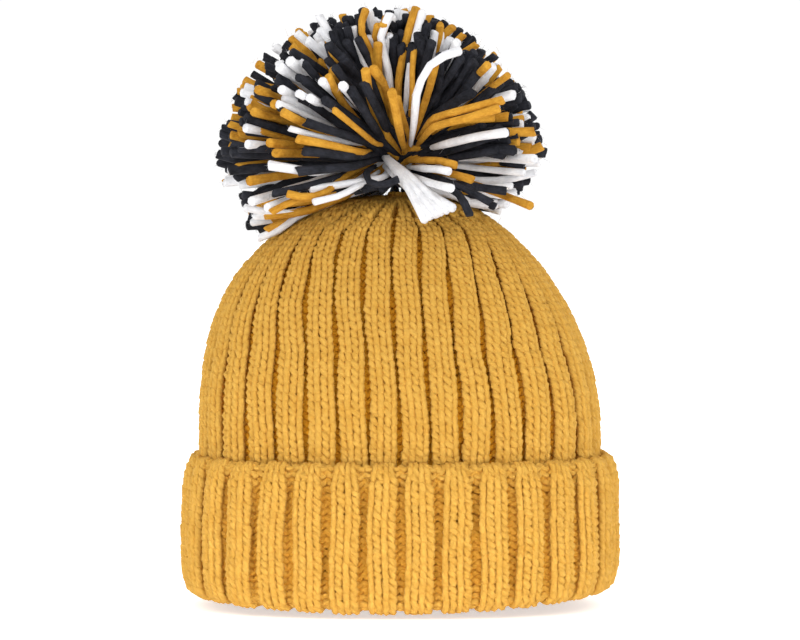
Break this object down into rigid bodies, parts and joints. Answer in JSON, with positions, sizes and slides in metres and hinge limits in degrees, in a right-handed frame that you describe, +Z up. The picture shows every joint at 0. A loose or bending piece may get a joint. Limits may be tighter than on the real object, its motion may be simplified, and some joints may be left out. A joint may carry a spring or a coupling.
{
  "type": "knit beanie",
  "caption": "Chunky rib-knit beanie with a turned-up cuff and a large multicoloured yarn pom-pom tied to the crown.",
  "frame": {"origin": "on the floor under the middle of the head opening, at the centre of the whole part's base", "axes": "+Z up to the pom-pom, -Y the front of the hat, +X the wearer's left; X is the wide way of the head opening"},
  "size_m": [0.219, 0.179, 0.3057],
  "materials": {
    "knit_mustard": "matt chunky rib knit, soft spun yarn",
    "seam_mustard": "matt sewing yarn",
    "label_cloth": "satin woven tape, blank",
    "tie_cord": "matt twisted cord",
    "pom_navy": "matt, fuzzy cut yarn",
    "pom_white": "matt, fuzzy cut yarn",
    "pom_mustard": "matt, fuzzy cut yarn"
  },
  "bodies": {
    "hat": {"ribbed_body": "knit_mustard", "turned_up_cuff": "knit_mustard", "crown_gathering_yarn": "seam_mustard", "back_seam": "seam_mustard", "care_label": "label_cloth", "anchor_knot": "tie_cord", "pom_tuft_low_01": "pom_navy", "pom_tuft_low_02": "pom_white", "pom_tuft_low_03": "pom_navy", "pom_tuft_low_04": "pom_mustard", "pom_tuft_low_05": "pom_navy", "pom_tuft_low_06": "pom_white", "pom_tuft_low_07": "pom_navy", "pom_tuft_low_08": "pom_mustard", "pom_tuft_low_09": "pom_navy", "pom_tuft_low_10": "pom_white", "pom_tuft_low_11": "pom_navy", "pom_tuft_low_12": "pom_mustard"},
    "anchor": {"anchor_tail_left": "tie_cord", "anchor_tail_right": "tie_cord"},
    "tie": {"tie_wrap": "tie_cord"},
    "pompom": {"bound_strand_middles": "pom_navy", "pom_tuft_middle_01": "pom_navy", "pom_tuft_middle_02": "pom_mustard", "pom_tuft_middle_03": "pom_navy", "pom_tuft_middle_04": "pom_white", "pom_tuft_middle_05": "pom_navy", "pom_tuft_middle_06": "pom_mustard", "pom_tuft_middle_07": "pom_navy", "pom_tuft_middle_08": "pom_white", "pom_tuft_middle_09": "pom_navy", "pom_tuft_middle_10": "pom_mustard", "pom_tuft_middle_11": "pom_navy", "pom_tuft_high_01": "pom_white", "pom_tuft_high_02": "pom_navy", "pom_tuft_high_03": "pom_mustard", "pom_tuft_high_04": "pom_navy", "pom_tuft_high_05": "pom_white", "pom_tuft_high_06": "pom_navy", "pom_tuft_high_07": "pom_mustard", "pom_tuft_high_08": "pom_navy", "pom_tuft_top_01": "pom_mustard", "pom_tuft_top_02": "pom_navy", "pom_tuft_top_03": "pom_white"}
  },
  "joints": [
    {"name": "pom_nod", "type": "hinge", "parent": "hat", "child": "anchor", "pos_m": [0, 0, 0.208], "axis": [1, 0, 0], "range_deg": [-15, 15], "stiffness_Nm_per_rad": 0.08},
    {"name": "pom_sway", "type": "hinge", "parent": "anchor", "child": "tie", "pos_m": [0, 0, 0.208], "axis": [0, 1, 0], "range_deg": [-15, 15], "stiffness_Nm_per_rad": 0.08},
    {"name": "pom_twist", "type": "hinge", "parent": "tie", "child": "pompom", "pos_m": [0, 0, 0.208], "axis": [0, 0, 1], "range_deg": [-30, 30], "stiffness_Nm_per_rad": 0.02}
  ]
}
